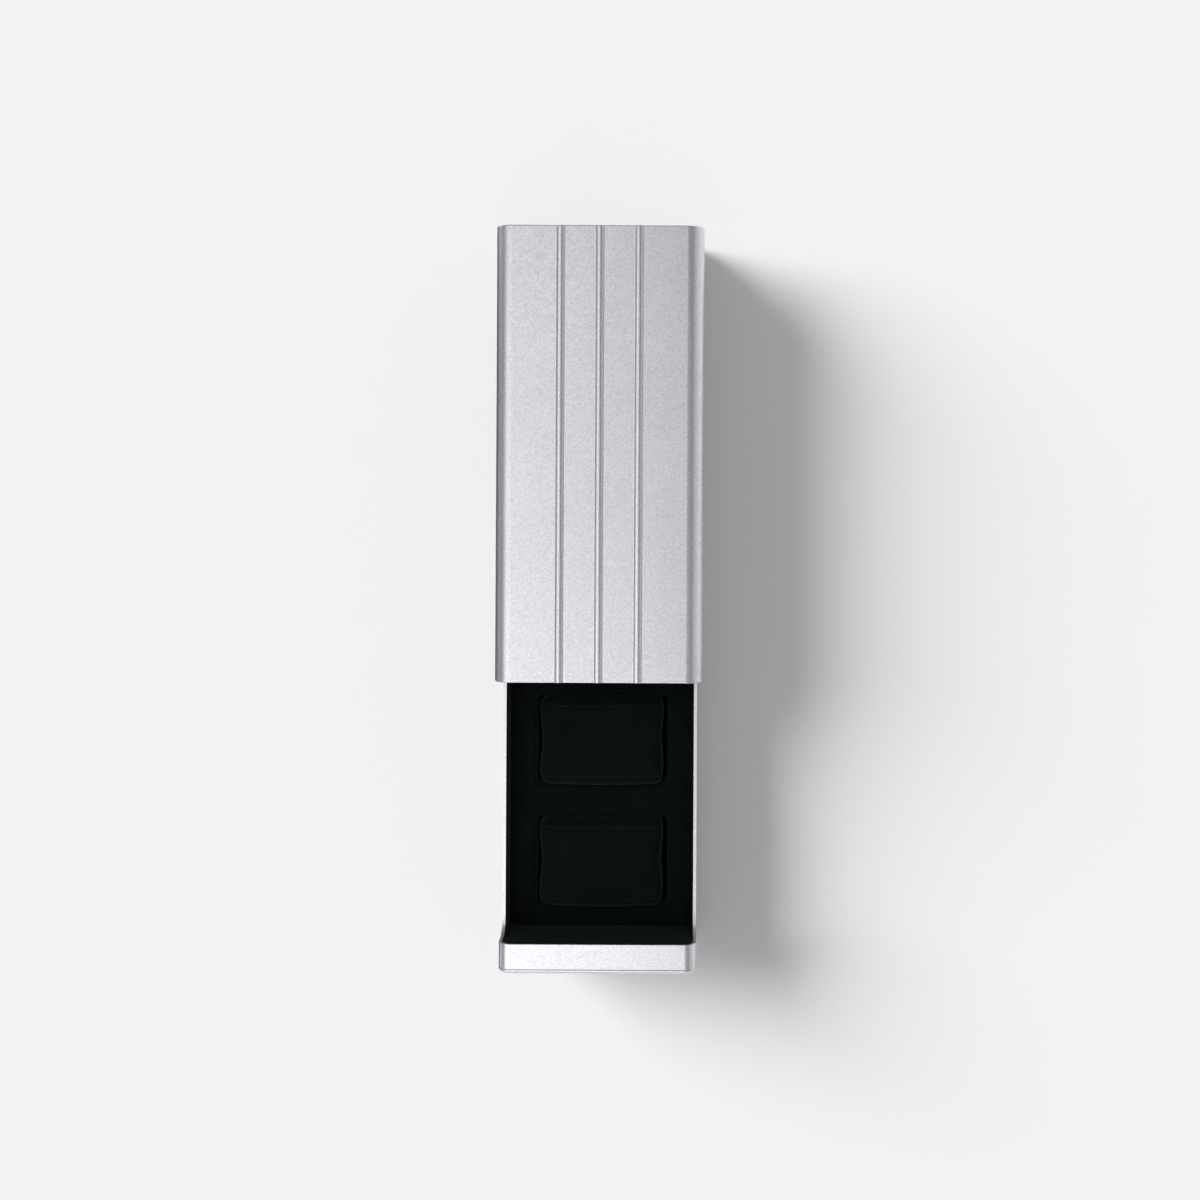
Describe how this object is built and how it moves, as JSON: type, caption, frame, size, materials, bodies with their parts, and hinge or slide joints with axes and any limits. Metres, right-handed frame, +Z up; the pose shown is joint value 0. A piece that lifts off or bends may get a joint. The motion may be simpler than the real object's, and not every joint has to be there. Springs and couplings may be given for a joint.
{
  "type": "watch storage case",
  "caption": "Rounded aluminium sleeve with raised lengthwise beads and a sliding drawer, whose suede-lined wells hold lift-out cushions for wristwatches.",
  "frame": {"origin": "middle of the base pad's underside, below the middle of the sleeve", "axes": "+Z up, the drawer opens towards -Y, +X to the right seen from the drawer's front"},
  "size_m": [0.1252, 0.4487, 0.0782],
  "materials": {
    "anodised_aluminium": "satin",
    "dark_green_suede": "matte",
    "cushion_foam": "matte",
    "packing_foam": "matte",
    "liner_board": "matte",
    "screw_steel": "satin",
    "magnet_nickel": "satin",
    "glide_tape": "satin",
    "bumper_felt": "matte",
    "pad_rubber": "matte",
    "bush_plastic": "satin"
  },
  "bodies": {
    "sleeve": {"sleeve_shell": "anodised_aluminium", "rear_plate": "anodised_aluminium", "rear_plate_screws": "screw_steel", "catch_magnets": "magnet_nickel", "rear_bumpers": "bumper_felt", "base_pad": "pad_rubber", "stop_screw": "screw_steel", "stop_bush": "bush_plastic", "bottom_glide_left": "glide_tape", "bottom_glide_right": "glide_tape", "side_glide_left": "glide_tape", "side_glide_right": "glide_tape"},
    "drawer": {"drawer_shell": "anodised_aluminium", "front_plate": "anodised_aluminium", "front_plate_screws": "screw_steel", "front_pad": "dark_green_suede", "side_lining_left": "dark_green_suede", "side_lining_right": "dark_green_suede", "rear_lining": "dark_green_suede", "drawer_rear_wall": "anodised_aluminium", "drawer_rear_screws": "screw_steel", "strike_discs": "screw_steel", "well_panel": "dark_green_suede", "well_floor_pads": "dark_green_suede", "well_liner_front": "liner_board", "well_liner_middle": "liner_board", "well_liner_rear": "liner_board", "front_filler": "packing_foam", "cross_fillers": "packing_foam", "rear_filler": "packing_foam", "side_fillers": "packing_foam"},
    "front_cushion": {"cushion_front": "dark_green_suede", "cushion_core_front": "cushion_foam"},
    "middle_cushion": {"cushion_middle": "dark_green_suede", "cushion_core_middle": "cushion_foam"},
    "rear_cushion": {"cushion_rear": "dark_green_suede", "cushion_core_rear": "cushion_foam"}
  },
  "joints": [
    {"name": "drawer_slide", "type": "slide", "parent": "sleeve", "child": "drawer", "axis": [0, -1, 0], "range_m": [-0.1709, 0.064]},
    {"name": "front_cushion_lift", "type": "slide", "parent": "drawer", "child": "front_cushion", "axis": [0, 0, 1], "range_m": [0, 0.022]},
    {"name": "middle_cushion_lift", "type": "slide", "parent": "drawer", "child": "middle_cushion", "axis": [0, 0, 1], "range_m": [0, 0.022]},
    {"name": "rear_cushion_lift", "type": "slide", "parent": "drawer", "child": "rear_cushion", "axis": [0, 0, 1], "range_m": [0, 0.022]}
  ]
}
